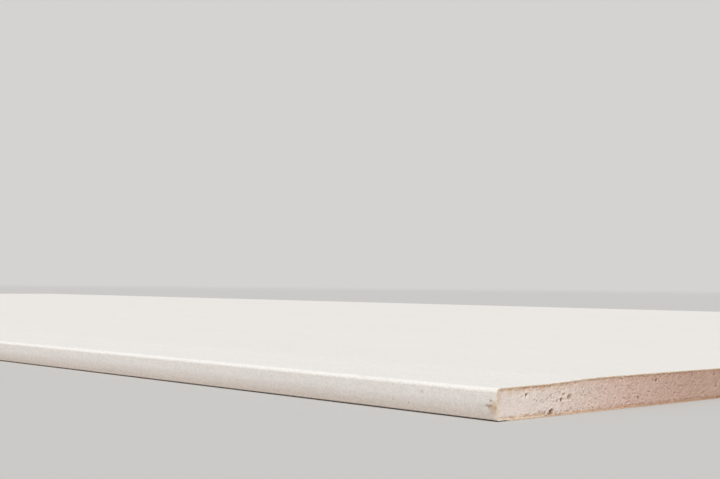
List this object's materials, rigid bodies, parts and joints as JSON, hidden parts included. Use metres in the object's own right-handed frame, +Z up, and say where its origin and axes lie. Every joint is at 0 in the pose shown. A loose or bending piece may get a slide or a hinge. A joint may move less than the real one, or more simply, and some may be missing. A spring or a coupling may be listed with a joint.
{
  "type": "drywall sheet",
  "caption": "Flat gypsum board with tapered, paper-wrapped long edges and bare square-cut ends, for lining walls and ceilings.",
  "frame": {"origin": "middle of the underside, on the floor the sheet lies on", "axes": "+X along the length (the wrapped, tapered edges run along X), +Y across the width, +Z up out of the finished face"},
  "size_m": [2.5, 1.2, 0.0125],
  "materials": {
    "gypsum": "matt foamed gypsum, pinkish, with pores and pits on the sawn ends",
    "ivory_paper": "matt ivory face paper, smooth, with faint fibre mottle along the sheet",
    "buff_paper": "matt buff recycled back paper with visible fibres"
  },
  "bodies": {
    "root": {"gypsum_core": "gypsum", "face_paper": "ivory_paper", "back_paper": "buff_paper"}
  },
  "joints": []
}
